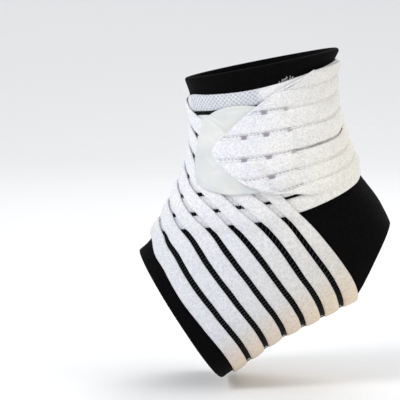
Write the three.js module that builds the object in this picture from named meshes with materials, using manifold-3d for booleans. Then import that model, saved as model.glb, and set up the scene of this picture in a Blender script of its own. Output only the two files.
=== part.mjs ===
// An ankle brace as it sits on a left foot whose heel is lifted and whose toes point down and forward.
// A closed-cell foam sleeve bends around the ankle, open at the leg, at the toes and at the heel.
// One ribbed elastic strap is wound over it in a figure of eight, and its tapered end lies on a hook tab.
// Millimetres, +Z up the leg, toes toward -X, the outer side of the ankle toward -Y,
// with the origin in the middle of the ankle.
import * as THREE from "three";
import * as BufferGeometryUtils from "three/addons/utils/BufferGeometryUtils.js";
import Module from "manifold-3d";

const wasm = await Module();
wasm.setup();

// Overall sizes of the sleeve
const BRACE_LENGTH = 141; // toe end of the foot rim to the back of the heel, along X
const BRACE_HEIGHT = 180; // lowest point of the foot rim to the highest of the leg rim, along Z
const BRACE_WIDTH = 84; // side to side at the foot rim, along Y
const SLEEVE_WALL = 3;
const RIM_ROLL = 1.2; // how far the rounded rim stands beyond the last section
const HEEL_HOLE_DEPTH = 10.8; // how deep the heel is cut off to let the wearer's heel out
const HEEL_CUT_ANGLE = -26.6; // which way the heel hole looks, in degrees above +X

// Sizes of the strap and the hook tab
const STRAP_WIDTH = 80;
const STRAP_THICKNESS = 1.6;
const RIB_COUNT = 7;
const RIB_GAP = 3; // open lane between two ribs
const TAB_LENGTH = 54;
const TAB_WIDTH = 48;
const TAB_THICKNESS = 1.2;
const LAYER_GAP = 0.75; // clearance under each layer of strap and under the tab

// Sections of the sleeve's outer skin from the leg rim down and round to the foot rim.
// Each is a rounded slice that fans about the front of the ankle, from a front point to a back point.
// X is a share of BRACE_LENGTH, Z of BRACE_HEIGHT and halfWidth of BRACE_WIDTH.
// roundness is the exponent of the back's curve, 2 being an ellipse, and soleWide moves the width back.
const SECTION_COLUMNS = ["frontX", "frontZ", "backX", "backZ", "halfWidth", "roundness", "soleWide"];
const SECTIONS = [
  [-0.303, 0.262, 0.299, 0.352, 0.429, 2.0, 0.0],
  [-0.282, 0.213, 0.272, 0.299, 0.399, 2.0, 0.0],
  [-0.264, 0.133, 0.274, 0.207, 0.393, 2.0, 0.0],
  [-0.27, 0.052, 0.307, 0.102, 0.429, 2.0, 0.02],
  [-0.297, -0.022, 0.37, -0.009, 0.458, 2.0, 0.02],
  [-0.327, -0.077, 0.469, -0.117, 0.44, 2.1, 0.0],
  [-0.351, -0.114, 0.52, -0.232, 0.423, 2.3, -0.02],
  [-0.37, -0.145, 0.465, -0.367, 0.423, 2.4, 0.04],
  [-0.386, -0.17, 0.339, -0.42, 0.44, 2.5, 0.08],
  [-0.404, -0.193, 0.205, -0.474, 0.458, 2.6, 0.12],
  [-0.426, -0.216, 0.071, -0.528, 0.47, 2.6, 0.14],
  [-0.451, -0.241, -0.047, -0.593, 0.476, 2.6, 0.15],
  [-0.481, -0.262, -0.148, -0.65, 0.5, 2.6, 0.16],
];
const FRONT_ROUNDNESS = 2;
const LAST_SECTION = SECTIONS.length - 1;

// The strap's way round the sleeve. angle is 0 at the front, 90 at either side and 180 at the back or sole.
// A row is a place along SECTIONS, here that of the strap's middle line. The others are shares of
// STRAP_WIDTH measured along the section line: spread is the width that the strap covers there,
// fan draws the ribs of the upper half apart, or together below 0,
// and pinch draws those of the lower half together.
const LAP = 360; // degrees in one turn round the brace
const KNOT_COLUMNS = ["angle", "row", "spread", "fan", "pinch"];
const FAN_POWER = 2.5; // above 1 the fan opens most between the outermost ribs
const PINCH_POWER = 1.5;

// The ankle turn, level round the leg
const ANKLE_KNOTS = [
  [0, 3.9, 1.01, 0, 0],
  [20, 3.67, 1.01, 0, 0],
  [40, 3.54, 0.96, 0, 0],
  [60, 3.39, 0.91, 0, 0],
  [80, 3.31, 0.9, 0, 0],
  [100, 3.17, 0.89, 0, 0],
  [120, 2.99, 0.88, 0, 0],
  [150, 2.73, 0.87, 0, 0],
  [180, 2.52, 0.85, 0, 0],
];

// The sole turn, from the front down and under the foot
const SOLE_KNOTS = [
  [0, 3.9, 1.01, 0, 0],
  [20, 4.49, 0.975, 0.12, 0],
  [40, 5.57, 0.98, 0.5, 0],
  [60, 6.68, 1.01, 0.78, 0],
  [80, 7.76, 1.04, 1, 0],
  [100, 8.48, 1.035, 0.31, 0],
  [120, 8.96, 1.02, 0.09, 0],
  [150, 9.48, 1, 0, 0],
  [180, 9.67, 1, 0, 0],
];

// The free end, which comes forward from the back of the ankle on the outer side
const END_KNOTS = [
  [180, 2.52, 0.88, -0.1, 0.2],
  [150, 2.79, 0.98, -0.15, 0.37],
  [120, 2.92, 1.05, -0.25, 0.39],
  [100, 3, 1.08, -0.25, 0.44],
  [80, 3.06, 1.1, -0.1, 0.35],
  [60, 3.08, 1.1, 0, 0.35],
  [40, 3.08, 1.1, 0, 0.35],
];

// Where the strap starts, where its tip lies and how its end narrows, in degrees of turn
const START_TURN = -216; // sewn end, on the inner side behind the ankle
const BACK_TURN = 540; // last time round the back, where the free end begins
const TIP_TURN = 671;
const UPPER_TAPER = 84; // the uppermost rib stops this far before the tip
const LOWER_TAPER = 62; // and the lowest one this far
const TAPER_POWER = 1.28; // above 1 the taper is a blunt leaf and not a straight wedge

// Where the middle of the hook tab lies
const TAB_ANGLE = 68;
const TAB_ROW = 3.05;
const TAB_BLUNT = 0.4; // 0.5 would make its outline an ellipse and 0 a rectangle
const TAB_POWER = 2.8; // exponent of the like outline that upper layers rise over

// Upper layers stay up for a flat stretch past a lower layer's edge and then come down a ramp.
// The strap's end is stiffened by its taper and the tab, and bridges further.
const COVER_FLAT = 8;
const END_COVER_FLAT = 17;
const COVER_RAMP = 12;

// How finely the skins are divided
const STATIONS_ROUND = 40; // strap and sleeve share these, so their facets lie alike
const SLEEVE_BANDS = 20;
const END_STATIONS = 14;
const WINDOW_STATIONS = 5; // one closed bar in this many stations keeps the ribs together
const TAB_CELLS_LONG = 12;
const TAB_CELLS_WIDE = 10;
const LINE_SAMPLES = 60;
const ROW_STEP = 0.02; // step for slopes along the rows
const ANGLE_STEP = 0.5; // step for slopes round a section
const ROW_MARGIN = 0.12; // the strap stays this far from both rims, in rows

// Smooth curve through the rows of a table, by cubic pieces whose slopes come from the neighbours
function tableAt(columns, table, key, x) {
  const xs = key === null ? table.map((row, index) => index) : table.map((row) => row[columns.indexOf(key)]);
  const last = xs.length - 1;
  let i = 0;
  while (i < last - 1 && x > xs[i + 1]) i += 1;
  const span = xs[i + 1] - xs[i];
  const u = (x - xs[i]) / span;
  const slope = (k, c) => {
    const low = Math.max(k - 1, 0);
    const high = Math.min(k + 1, last);
    return (table[high][c] - table[low][c]) / (xs[high] - xs[low]);
  };
  const value = {};
  columns.forEach((name, c) => {
    const from = table[i][c];
    const to = table[i + 1][c];
    const fromSlope = slope(i, c) * span;
    const toSlope = slope(i + 1, c) * span;
    const bend = 2 * from - 2 * to + fromSlope + toSlope;
    const lean = 3 * (to - from) - 2 * fromSlope - toSlope;
    value[name] = ((bend * u + lean) * u + fromSlope) * u + from;
  });
  return value;
}

// Point of the sleeve's outer skin at an angle round the section and a row along the foot
function skinPoint(angle, row) {
  const s = tableAt(SECTION_COLUMNS, SECTIONS, null, row);
  const phi = THREE.MathUtils.degToRad(angle);
  const forward = Math.cos(phi);
  const sideways = Math.sin(phi);
  const power = FRONT_ROUNDNESS + ((s.roundness - FRONT_ROUNDNESS) * (1 - forward)) / 2;
  const reach = (Math.abs(forward) ** power + Math.abs(sideways) ** power) ** (-1 / power);
  const along = forward * reach;
  const back = (1 - along) / 2;
  const x = BRACE_LENGTH * THREE.MathUtils.lerp(s.frontX, s.backX, back);
  const z = BRACE_HEIGHT * THREE.MathUtils.lerp(s.frontZ, s.backZ, back);
  const y = -BRACE_WIDTH * s.halfWidth * sideways * reach * (1 - s.soleWide * along);
  return new THREE.Vector3(x, y, z);
}

// Unit direction along the rows, from the leg rim toward the foot rim
function skinAlong(angle, row) {
  const low = Math.max(row - ROW_STEP, 0);
  const high = Math.min(row + ROW_STEP, LAST_SECTION);
  return skinPoint(angle, high).sub(skinPoint(angle, low)).normalize();
}

// Unit direction straight out of the skin
function skinNormal(angle, row) {
  const round = skinPoint(angle + ANGLE_STEP, row).sub(skinPoint(angle - ANGLE_STEP, row));
  return skinAlong(angle, row).cross(round).normalize();
}

function raisedPoint(angle, row, height) {
  return skinPoint(angle, row).addScaledVector(skinNormal(angle, row), height);
}

// Lengths measured down the skin at one angle, from the leg rim to each sample row
function sectionLine(angle) {
  const rows = [0];
  const lengths = [0];
  let before = skinPoint(angle, 0);
  for (let k = 1; k <= LINE_SAMPLES; k += 1) {
    const row = (LAST_SECTION * k) / LINE_SAMPLES;
    const here = skinPoint(angle, row);
    rows.push(row);
    lengths.push(lengths[k - 1] + here.distanceTo(before));
    before = here;
  }
  return { rows, lengths };
}

// Straight-line reading of one list against another
function readOff(xs, ys, x) {
  let i = 0;
  while (i < xs.length - 2 && x > xs[i + 1]) i += 1;
  return ys[i] + ((ys[i + 1] - ys[i]) * (x - xs[i])) / (xs[i + 1] - xs[i]);
}

// The whole way of the strap, lap after lap, with the turn counted from its first pass over the front.
// Level round the ankle, down the inner side, under the sole, up the outer side, and level again.
function strapRoute() {
  const route = [];
  const lap = (knots, turnOf) => knots.forEach(([angle, ...rest]) => route.push([turnOf(angle), ...rest]));
  lap(ANKLE_KNOTS.slice(0, -1), (angle) => angle - LAP);
  lap(ANKLE_KNOTS.slice(1), (angle) => -angle);
  lap(SOLE_KNOTS, (angle) => angle);
  lap(SOLE_KNOTS.slice(1, -1), (angle) => LAP - angle);
  lap(ANKLE_KNOTS.slice(0, -1), (angle) => angle + LAP);
  lap(END_KNOTS, (angle) => 2 * LAP - angle);
  return route.sort((one, other) => one[0] - other[0]);
}

const ROUTE = strapRoute();

// Middle row of the strap at a turn, and how far it lies from the middle at a share of its width
function strapAt(turn) {
  const at = tableAt(KNOT_COLUMNS, ROUTE, "angle", turn);
  const offset = (across) => {
    const fan = at.fan * Math.max(0.5 - across, 0) ** FAN_POWER;
    const pinch = at.pinch * Math.max(across - 0.5, 0) ** PINCH_POWER;
    return STRAP_WIDTH * ((across - 0.5) * at.spread - fan - pinch);
  };
  return { row: at.row, offset };
}

// 1 where a layer lies underneath, 0 well outside it
function cover(outside, flat) {
  return 1 - THREE.MathUtils.smoothstep(outside, flat, flat + COVER_RAMP);
}

// How far a place lies outside the tab's outline
function outsideTab(angle, row) {
  const middle = skinPoint(TAB_ANGLE, TAB_ROW);
  const perDegree = middle.distanceTo(skinPoint(TAB_ANGLE + 1, TAB_ROW));
  const line = sectionLine(angle);
  const long = Math.abs((angle - TAB_ANGLE) * perDegree);
  const wide = Math.abs(readOff(line.rows, line.lengths, row) - readOff(line.rows, line.lengths, TAB_ROW));
  const share = ((2 * long) / TAB_LENGTH) ** TAB_POWER + ((2 * wide) / TAB_WIDTH) ** TAB_POWER;
  return (share ** (1 / TAB_POWER) - 1) * (TAB_WIDTH / 2);
}

// Height above the skin at which a layer laid at this turn has its under side
function layerFloor(turn, row, overTab) {
  const flat = overTab ? END_COVER_FLAT : COVER_FLAT;
  const line = sectionLine(-turn);
  const place = readOff(line.rows, line.lengths, row);
  let height = LAYER_GAP;
  for (let under = turn - LAP; under > START_TURN - LAP / 4; under -= LAP) {
    const strap = strapAt(under);
    const fromMiddle = place - readOff(line.rows, line.lengths, strap.row);
    const beside = Math.max(strap.offset(0) - fromMiddle, fromMiddle - strap.offset(1));
    const before = Math.max(START_TURN - under, 0);
    const past = skinPoint(-under, row).distanceTo(skinPoint(-under - before, row));
    height += cover(Math.max(beside, past), flat) * (STRAP_THICKNESS + LAYER_GAP);
  }
  if (overTab) height += cover(outsideTab(2 * LAP - turn, row), flat) * (TAB_THICKNESS + LAYER_GAP);
  return height;
}

// Closed solid between an upper and a lower grid of points, without the cells that open() names.
// Cells go i along the first direction and j along the second, and each is split on its short diagonal.
function solidBetween(upper, lower, open) {
  const rows = upper.length;
  const columns = upper[0].length;
  const points = [...upper.flat(), ...lower.flat()];
  const up = (i, j) => i * columns + j;
  const down = (i, j) => (rows + i) * columns + j;
  const filled = (i, j) => i >= 0 && j >= 0 && i < rows - 1 && j < columns - 1 && !open(i, j);
  const faces = [];
  const quad = (a, b, c, d) => {
    const throughA = points[a].distanceTo(points[c]) < points[b].distanceTo(points[d]);
    if (throughA) faces.push(a, d, c, a, c, b);
    else faces.push(a, d, b, b, d, c);
  };
  for (let i = 0; i < rows - 1; i += 1) {
    for (let j = 0; j < columns - 1; j += 1) {
      if (!filled(i, j)) continue;
      quad(up(i, j), up(i, j + 1), up(i + 1, j + 1), up(i + 1, j));
      quad(down(i, j), down(i + 1, j), down(i + 1, j + 1), down(i, j + 1));
      if (!filled(i - 1, j)) quad(up(i, j), down(i, j), down(i, j + 1), up(i, j + 1));
      if (!filled(i + 1, j)) quad(up(i + 1, j + 1), down(i + 1, j + 1), down(i + 1, j), up(i + 1, j));
      if (!filled(i, j - 1)) quad(up(i + 1, j), down(i + 1, j), down(i, j), up(i, j));
      if (!filled(i, j + 1)) quad(up(i, j + 1), down(i, j + 1), down(i + 1, j + 1), up(i + 1, j + 1));
    }
  }
  const geometry = new THREE.BufferGeometry().setFromPoints(points);
  geometry.setIndex(faces);
  // A grid with open cells has points that no face uses, and this leaves them out
  return BufferGeometryUtils.mergeVertices(geometry.toNonIndexed());
}

function toSolid(geometry) {
  const bare = geometry.clone();
  bare.deleteAttribute("normal");
  bare.deleteAttribute("uv");
  const merged = BufferGeometryUtils.mergeVertices(bare);
  const vertProperties = new Float32Array(merged.attributes.position.array);
  const triVerts = new Uint32Array(merged.index.array);
  return new wasm.Manifold(new wasm.Mesh({ numProp: 3, vertProperties, triVerts }));
}

function toGeometry(solid) {
  const mesh = solid.getMesh();
  const geometry = new THREE.BufferGeometry();
  geometry.setAttribute("position", new THREE.BufferAttribute(mesh.vertProperties, 3));
  geometry.setIndex(new THREE.BufferAttribute(mesh.triVerts, 1));
  return geometry;
}

// The loop of a wall's outer skin, foot rim, inner skin and leg rim.
// Each place has its row, its depth under the outer skin and how far it stands past the rim.
function wallLoop() {
  const loop = [];
  for (let k = 0; k <= SLEEVE_BANDS; k += 1) loop.push({ row: (LAST_SECTION * k) / SLEEVE_BANDS, depth: 0, past: 0 });
  loop.push({ row: LAST_SECTION, depth: SLEEVE_WALL / 2, past: RIM_ROLL });
  for (let k = SLEEVE_BANDS; k >= 0; k -= 1) {
    loop.push({ row: (LAST_SECTION * k) / SLEEVE_BANDS, depth: SLEEVE_WALL, past: 0 });
  }
  loop.push({ row: 0, depth: SLEEVE_WALL / 2, past: -RIM_ROLL });
  return loop;
}

function sleeveTube() {
  const loop = wallLoop();
  const positions = [];
  for (let i = 0; i < STATIONS_ROUND; i += 1) {
    const angle = (LAP * i) / STATIONS_ROUND;
    loop.forEach(({ row, depth, past }) => {
      const point = raisedPoint(angle, row, -depth).addScaledVector(skinAlong(angle, row), past);
      positions.push(point.x, point.y, point.z);
    });
  }
  const faces = [];
  const at = (i, k) => (i % STATIONS_ROUND) * loop.length + (k % loop.length);
  for (let i = 0; i < STATIONS_ROUND; i += 1) {
    for (let k = 0; k < loop.length; k += 1) {
      faces.push(at(i, k), at(i, k + 1), at(i + 1, k + 1));
      faces.push(at(i, k), at(i + 1, k + 1), at(i + 1, k));
    }
  }
  const geometry = new THREE.BufferGeometry();
  geometry.setAttribute("position", new THREE.Float32BufferAttribute(positions, 3));
  geometry.setIndex(faces);
  return geometry;
}

// A block that covers everything past the plane of the heel hole
function heelCutter() {
  const tilt = THREE.MathUtils.degToRad(HEEL_CUT_ANGLE);
  const out = new THREE.Vector3(Math.cos(tilt), 0, Math.sin(tilt));
  let furthest = skinPoint(180, 0);
  for (let row = 0; row <= LAST_SECTION; row += ROW_STEP) {
    const point = skinPoint(180, row);
    if (point.dot(out) > furthest.dot(out)) furthest = point;
  }
  const size = BRACE_WIDTH;
  const block = new THREE.BoxGeometry(size, 2 * size, size);
  block.rotateY(-tilt);
  const middle = furthest.clone().addScaledVector(out, size / 2 - HEEL_HOLE_DEPTH);
  block.translate(middle.x, middle.y, middle.z);
  return block;
}

function sleeveGeometry() {
  return toGeometry(toSolid(sleeveTube()).subtract(toSolid(heelCutter())));
}

// Places across the strap of both edges of every rib, from 0 at the upper edge to 1 at the lower
function ribEdges() {
  const pitch = (STRAP_WIDTH + RIB_GAP) / RIB_COUNT;
  const edges = [];
  for (let rib = 0; rib < RIB_COUNT; rib += 1) {
    edges.push((rib * pitch) / STRAP_WIDTH);
    edges.push((rib * pitch + pitch - RIB_GAP) / STRAP_WIDTH);
  }
  return edges;
}

// Turn at which a line across the strap stops, so that the end narrows to a rounded tip
function endTurn(across) {
  const taper = across < 0.5 ? UPPER_TAPER : LOWER_TAPER;
  return TIP_TURN - taper * Math.abs(2 * across - 1) ** TAPER_POWER;
}

// Row reached by going a share of the strap's width across it at a turn
function rowAcross(turn, across) {
  const strap = strapAt(turn);
  const line = sectionLine(-turn);
  const middle = readOff(line.rows, line.lengths, strap.row);
  const row = readOff(line.lengths, line.rows, middle + strap.offset(across));
  return THREE.MathUtils.clamp(row, ROW_MARGIN, LAST_SECTION - ROW_MARGIN);
}

function strapGeometry() {
  const edges = ribEdges();
  const before = Math.round(((BACK_TURN - START_TURN) * STATIONS_ROUND) / LAP);
  const stations = before + END_STATIONS;
  const upper = [];
  const lower = [];
  for (let i = 0; i <= stations; i += 1) {
    const top = [];
    const bottom = [];
    edges.forEach((across) => {
      const wound = START_TURN + ((BACK_TURN - START_TURN) * i) / before;
      const ending = BACK_TURN + ((endTurn(across) - BACK_TURN) * (i - before)) / END_STATIONS;
      const turn = i <= before ? wound : ending;
      const row = rowAcross(turn, across);
      const floor = layerFloor(turn, row, turn > BACK_TURN);
      top.push(raisedPoint(-turn, row, floor + STRAP_THICKNESS));
      bottom.push(raisedPoint(-turn, row, floor));
    });
    upper.push(top);
    lower.push(bottom);
  }
  const open = (i, j) => j % 2 === 1 && i % WINDOW_STATIONS !== 0 && i < stations - 1;
  return solidBetween(upper, lower, open);
}

function tabGeometry() {
  const perDegree = skinPoint(TAB_ANGLE, TAB_ROW).distanceTo(skinPoint(TAB_ANGLE + 1, TAB_ROW));
  const upper = [];
  const lower = [];
  for (let i = 0; i <= TAB_CELLS_LONG; i += 1) {
    const top = [];
    const bottom = [];
    for (let j = 0; j <= TAB_CELLS_WIDE; j += 1) {
      const p = 1 - (2 * i) / TAB_CELLS_LONG;
      const q = (2 * j) / TAB_CELLS_WIDE - 1;
      const long = (TAB_LENGTH / 2) * p * Math.sqrt(1 - TAB_BLUNT * q * q);
      const wide = (TAB_WIDTH / 2) * q * Math.sqrt(1 - TAB_BLUNT * p * p);
      const angle = TAB_ANGLE + long / perDegree;
      const line = sectionLine(angle);
      const row = readOff(line.lengths, line.rows, readOff(line.rows, line.lengths, TAB_ROW) + wide);
      const floor = layerFloor(2 * LAP - angle, row, false);
      top.push(raisedPoint(angle, row, floor + TAB_THICKNESS));
      bottom.push(raisedPoint(angle, row, floor));
    }
    upper.push(top);
    lower.push(bottom);
  }
  return solidBetween(upper, lower, () => false);
}

function piece(name, geometry, color, roughness) {
  const mesh = new THREE.Mesh(geometry, new THREE.MeshStandardMaterial({ color, roughness, metalness: 0 }));
  mesh.name = name;
  return mesh;
}

const group = new THREE.Group();
group.name = "ankle_brace";
group.add(piece("sleeve", sleeveGeometry(), 0x17181b, 0.9));
group.add(piece("strap", strapGeometry(), 0xe8e8ee, 0.85));
group.add(piece("hook_tab", tabGeometry(), 0xbcc6d4, 0.7));

export default group;
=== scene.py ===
# %% [markdown]
# An ankle brace. A black foam sleeve bends round the ankle, open at the leg, the toes and the heel.
# One long elastic strap is wound over it in a figure of eight, and its tapered end lies on a hook tab.
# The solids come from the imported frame. Here each of them gets its cloth: the strap becomes seven knit
# ribs with sheer lanes between them, the sleeve gets its jersey and the tab its smooth woven back.

# %% The tools and the fixed frame
import math

import bmesh
import bpy
import numpy as np
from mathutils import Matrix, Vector


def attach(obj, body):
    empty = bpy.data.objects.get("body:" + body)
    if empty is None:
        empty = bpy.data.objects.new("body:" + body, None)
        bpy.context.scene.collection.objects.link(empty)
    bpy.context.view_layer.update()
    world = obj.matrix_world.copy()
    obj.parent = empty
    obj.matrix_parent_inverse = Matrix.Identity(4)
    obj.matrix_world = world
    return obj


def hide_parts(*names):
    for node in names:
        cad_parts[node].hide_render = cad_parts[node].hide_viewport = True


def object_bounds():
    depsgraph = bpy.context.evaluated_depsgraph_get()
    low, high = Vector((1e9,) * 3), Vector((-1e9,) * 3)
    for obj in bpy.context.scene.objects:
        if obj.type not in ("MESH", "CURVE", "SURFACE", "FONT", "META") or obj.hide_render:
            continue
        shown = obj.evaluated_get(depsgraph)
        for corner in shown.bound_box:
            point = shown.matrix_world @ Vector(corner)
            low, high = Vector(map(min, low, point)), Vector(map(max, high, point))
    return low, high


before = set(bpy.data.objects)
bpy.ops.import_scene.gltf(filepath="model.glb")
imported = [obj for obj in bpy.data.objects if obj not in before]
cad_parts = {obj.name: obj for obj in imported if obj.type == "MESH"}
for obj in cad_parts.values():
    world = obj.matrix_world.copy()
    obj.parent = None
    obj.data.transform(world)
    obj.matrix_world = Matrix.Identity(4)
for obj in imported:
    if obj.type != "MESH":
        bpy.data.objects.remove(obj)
cad_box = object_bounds()
print("the solids reach from", [round(v, 4) for v in cad_box[0]], "to", [round(v, 4) for v in cad_box[1]])

# %% [markdown]
# The camera comes first, because everything after it is judged through it. The portrait was taken from
# the outer side of the ankle, a little above it, from far enough away that the near side isn't swollen.
# A long lens and a distance of more than a metre give that flat look.

# %% The camera at the portrait's angle
MM = 0.001
CAMERA_DISTANCE = 1.2
CAMERA_ELEVATION = math.radians(6.0)
PIXELS_ACROSS = 400
PIXELS_PER_MM = 1.8
ORIGIN_PIXEL = (262.0, 165.0)

camera_data = bpy.data.cameras.new("portrait")
camera = bpy.data.objects.new("portrait", camera_data)
bpy.context.scene.collection.objects.link(camera)
bpy.context.scene.camera = camera
backward = Vector((0, -math.cos(CAMERA_ELEVATION), math.sin(CAMERA_ELEVATION)))
rightward = Vector((1, 0, 0))
upward = backward.cross(rightward)
metres_per_pixel = MM / PIXELS_PER_MM
aim = rightward * (PIXELS_ACROSS / 2 - ORIGIN_PIXEL[0]) * metres_per_pixel
aim += upward * (ORIGIN_PIXEL[1] - PIXELS_ACROSS / 2) * metres_per_pixel
camera.location = aim + backward * CAMERA_DISTANCE
camera.rotation_euler = (-backward).to_track_quat("-Z", "Y").to_euler()
camera_data.lens = camera_data.sensor_width * CAMERA_DISTANCE / (PIXELS_ACROSS * metres_per_pixel)
print("lens", round(camera_data.lens, 1), "mm")

# %% [markdown]
# The foot isn't built, but its form is what every piece lies on. It is a fan of rounded slices: each
# slice has a front point, a back point and a width, and a smooth curve runs through them from the leg
# rim down and round to the foot rim. The numbers are the solids' own, as shares of three overall sizes,
# so a piece made here lies where its solid does. Lengths are worked out in millimetres.

# %% The form that the brace follows
BRACE_LENGTH = 141.0
BRACE_HEIGHT = 180.0
BRACE_WIDTH = 84.0
SLEEVE_WALL = 3.0
# front x, front z, back x, back z, half width, roundness of the back, how far the width sits back
SECTIONS = np.array([
    [-0.303, 0.262, 0.299, 0.352, 0.429, 2.0, 0.00],
    [-0.282, 0.213, 0.272, 0.299, 0.399, 2.0, 0.00],
    [-0.264, 0.133, 0.274, 0.207, 0.393, 2.0, 0.00],
    [-0.270, 0.052, 0.307, 0.102, 0.429, 2.0, 0.02],
    [-0.297, -0.022, 0.370, -0.009, 0.458, 2.0, 0.02],
    [-0.327, -0.077, 0.469, -0.117, 0.440, 2.1, 0.00],
    [-0.351, -0.114, 0.520, -0.232, 0.423, 2.3, -0.02],
    [-0.370, -0.145, 0.465, -0.367, 0.423, 2.4, 0.04],
    [-0.386, -0.170, 0.339, -0.420, 0.440, 2.5, 0.08],
    [-0.404, -0.193, 0.205, -0.474, 0.458, 2.6, 0.12],
    [-0.426, -0.216, 0.071, -0.528, 0.470, 2.6, 0.14],
    [-0.451, -0.241, -0.047, -0.593, 0.476, 2.6, 0.15],
    [-0.481, -0.262, -0.148, -0.650, 0.500, 2.6, 0.16],
])
SECTION_ROWS = np.arange(len(SECTIONS), dtype=float)
LAST_ROW = SECTION_ROWS[-1]
FRONT_ROUNDNESS = 2.0
ROW_STEP = 0.02
ANGLE_STEP = 0.5


def through_knots(knots, values, x):
    """Smooth curve through a table: between two knots a cubic whose end slopes are the slopes from the
    knot before to the knot after. x may be any array, and the result has one column per value."""
    slopes = np.empty_like(values)
    slopes[1:-1] = (values[2:] - values[:-2]) / (knots[2:] - knots[:-2])[:, None]
    slopes[0] = (values[1] - values[0]) / (knots[1] - knots[0])
    slopes[-1] = (values[-1] - values[-2]) / (knots[-1] - knots[-2])
    i = np.clip(np.searchsorted(knots, x, side="right") - 1, 0, len(knots) - 2)
    span = (knots[i + 1] - knots[i])[..., None]
    u = (np.asarray(x)[..., None] - knots[i][..., None]) / span
    start, end = values[i], values[i + 1]
    rise, fall = slopes[i] * span, slopes[i + 1] * span
    cubic = 2 * start - 2 * end + rise + fall
    square = 3 * (end - start) - 2 * rise - fall
    return (cubic * u + square) * u * u + rise * u + start


def skin(angle, row):
    """Point of the sleeve's outer skin. The slice at this row is a superellipse: forward and sideways
    reach are the cosine and sine of the angle, stretched until the sum of their powers is one."""
    angle, row = np.broadcast_arrays(np.asarray(angle, float), np.asarray(row, float))
    front_x, front_z, back_x, back_z, half, roundness, sits_back = np.moveaxis(
        through_knots(SECTION_ROWS, SECTIONS, row), -1, 0)
    forward, sideways = np.cos(np.radians(angle)), np.sin(np.radians(angle))
    power = FRONT_ROUNDNESS + (roundness - FRONT_ROUNDNESS) * (1 - forward) / 2
    reach = (np.abs(forward) ** power + np.abs(sideways) ** power) ** (-1 / power)
    back = (1 - forward * reach) / 2
    x = BRACE_LENGTH * (front_x + (back_x - front_x) * back)
    z = BRACE_HEIGHT * (front_z + (back_z - front_z) * back)
    y = -BRACE_WIDTH * half * sideways * reach * (1 - sits_back * forward * reach)
    return np.stack([x, y, z], -1)


def smooth_step(low, high, x):
    """0 below low, 1 above high, and an S curve between."""
    u = np.clip((x - low) / (high - low), 0, 1)
    return u * u * (3 - 2 * u)


def unit(vectors):
    """The same directions with a length of one."""
    return vectors / np.linalg.norm(vectors, axis=-1, keepdims=True)


def along_skin(angle, row):
    """Unit direction down the skin toward the foot rim, from two points a little above and below."""
    above = skin(angle, np.maximum(row - ROW_STEP, 0))
    below = skin(angle, np.minimum(row + ROW_STEP, LAST_ROW))
    return unit(below - above)


def out_of_skin(angle, row):
    """Unit direction straight out of the skin, square to the ways down it and round it."""
    way_round = skin(angle + ANGLE_STEP, row) - skin(angle - ANGLE_STEP, row)
    return unit(np.cross(along_skin(angle, row), way_round))


def raised(angle, row, height):
    """Point at a height over the skin."""
    return skin(angle, row) + out_of_skin(angle, row) * np.asarray(height)[..., None]


# %% [markdown]
# A strap is measured along the skin, not in rows, so lengths down the skin are worked out once for a
# ring of angles and then read off like a map: from a row to its length, and back from a length to a row.

# %% Lengths down the skin
MAP_ANGLES = np.arange(0.0, 361.0, 3.0)
MAP_ROWS = np.linspace(0, LAST_ROW, 241)
MAP_SHARES = np.linspace(0, 1, 481)
JUST_INSIDE = 0.0001

map_points = skin(MAP_ANGLES[:, None], MAP_ROWS[None, :])
map_steps = np.linalg.norm(np.diff(map_points, axis=1), axis=2)
MAP_LENGTHS = np.concatenate([np.zeros((len(MAP_ANGLES), 1)), np.cumsum(map_steps, axis=1)], axis=1)
MAP_TOTALS = MAP_LENGTHS[:, -1]
MAP_BACK = np.stack([np.interp(MAP_SHARES * total, lengths, MAP_ROWS)
                     for total, lengths in zip(MAP_TOTALS, MAP_LENGTHS)])


def read_map(table, across, down):
    """Value between the four nearest places of an evenly spaced table, across and down from 0 to 1."""
    i = np.clip(across * (table.shape[0] - 1), 0, table.shape[0] - 1 - JUST_INSIDE)
    j = np.clip(down * (table.shape[1] - 1), 0, table.shape[1] - 1 - JUST_INSIDE)
    i0, j0 = i.astype(int), j.astype(int)
    u, v = i - i0, j - j0
    upper = table[i0, j0] * (1 - v) + table[i0, j0 + 1] * v
    lower = table[i0 + 1, j0] * (1 - v) + table[i0 + 1, j0 + 1] * v
    return upper * (1 - u) + lower * u


def length_at(angle, row):
    """Length down the skin from the leg rim to a row."""
    return read_map(MAP_LENGTHS, np.mod(angle, 360) / 360, row / LAST_ROW)


def row_at(angle, length):
    """Row reached by going a length down the skin from the leg rim."""
    total = np.interp(np.mod(angle, 360), MAP_ANGLES, MAP_TOTALS)
    return read_map(MAP_BACK, np.mod(angle, 360) / 360, np.clip(length / total, 0, 1))


down_front, down_back = float(MAP_TOTALS[0]), float(MAP_TOTALS[len(MAP_ANGLES) // 2])
print("down the front", round(down_front), "mm, down the back and sole", round(down_back), "mm")

# %% [markdown]
# Every piece is a grid of points worked out as whole arrays. One helper turns such a grid into a mesh,
# closes it round where it closes, and keeps the lengths along and across it as a UV map, so that a weave
# can follow the cloth. The recalculated normals make sure that closed shells face outwards.

# %% From arrays to meshes
ROOT = "root"
CLOTH_MAP = "cloth"


def new_object(name, mesh, material):
    """Links a mesh as a smooth-shaded piece that rides on the only body and has one material."""
    mesh.polygons.foreach_set("use_smooth", np.ones(len(mesh.polygons), dtype=bool))
    mesh.materials.append(material)
    piece = bpy.data.objects.new(name, mesh)
    bpy.context.scene.collection.objects.link(piece)
    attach(piece, ROOT)
    return piece


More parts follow.
